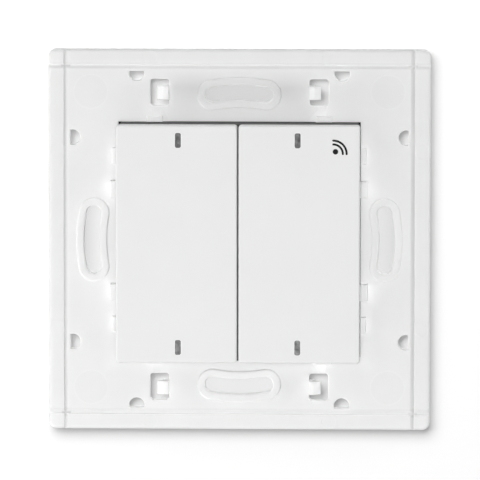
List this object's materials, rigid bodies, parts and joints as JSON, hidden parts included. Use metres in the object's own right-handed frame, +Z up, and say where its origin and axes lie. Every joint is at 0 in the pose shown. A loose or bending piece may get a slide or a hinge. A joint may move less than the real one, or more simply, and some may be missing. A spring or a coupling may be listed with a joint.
{
  "type": "wireless remote wall switch",
  "caption": "Square wall plate with screw slots and latch hooks, holding a flat radio transmitter with a pair of tall white rockers and smoked light windows.",
  "frame": {"origin": "middle of the back, on the wall plane", "axes": "+Z up, +Y into the wall, -Y into the room, +X to the right of a person facing the switch"},
  "size_m": [0.0776, 0.0118, 0.0776],
  "materials": {
    "plate_plastic": "satin, milky translucent",
    "rocker_plastic": "satin",
    "dark_plastic": "satin",
    "smoked_window": "smooth",
    "mark_ink": "printed",
    "silicone": "matte",
    "board_laminate": "solder mask",
    "gold_plating": "plated",
    "copper": "tinned copper",
    "chip_resin": "moulded",
    "ceramic": "fired",
    "nickel_can": "satin",
    "cell_steel": "satin",
    "spring_steel": "bright",
    "zinc_steel": "zinc plated",
    "led_resin": "clear"
  },
  "bodies": {
    "base": {"mounting_plate": "plate_plastic", "module_frame": "dark_plastic", "module_back": "dark_plastic", "module_screws": "zinc_steel", "circuit_board": "board_laminate", "key_pads": "gold_plating", "antenna_trace": "copper", "radio_chip": "chip_resin", "crystal": "nickel_can", "resistors": "chip_resin", "capacitors": "ceramic", "coin_cell": "cell_steel", "cell_clip": "spring_steel", "cell_contact": "spring_steel", "switch_mat_left": "silicone", "switch_mat_right": "silicone", "led_left_top": "led_resin", "led_left_bottom": "led_resin", "led_right_top": "led_resin", "led_right_bottom": "led_resin"},
    "left_rocker": {"rocker_left": "rocker_plastic", "window_left_top": "smoked_window", "window_left_bottom": "smoked_window"},
    "right_rocker": {"rocker_right": "rocker_plastic", "radio_mark": "mark_ink", "window_right_top": "smoked_window", "window_right_bottom": "smoked_window"}
  },
  "joints": [
    {"name": "left_rocker_pivot", "type": "hinge", "parent": "base", "child": "left_rocker", "pos_m": [-0.01238, -0.0089, 0], "axis": [1, 0, 0], "range_deg": [-2, 2], "stiffness_Nm_per_rad": 0.6, "deforming": ["switch_mat_left"]},
    {"name": "right_rocker_pivot", "type": "hinge", "parent": "base", "child": "right_rocker", "pos_m": [0.01238, -0.0089, 0], "axis": [1, 0, 0], "range_deg": [-2, 2], "stiffness_Nm_per_rad": 0.6, "deforming": ["switch_mat_right"]}
  ]
}
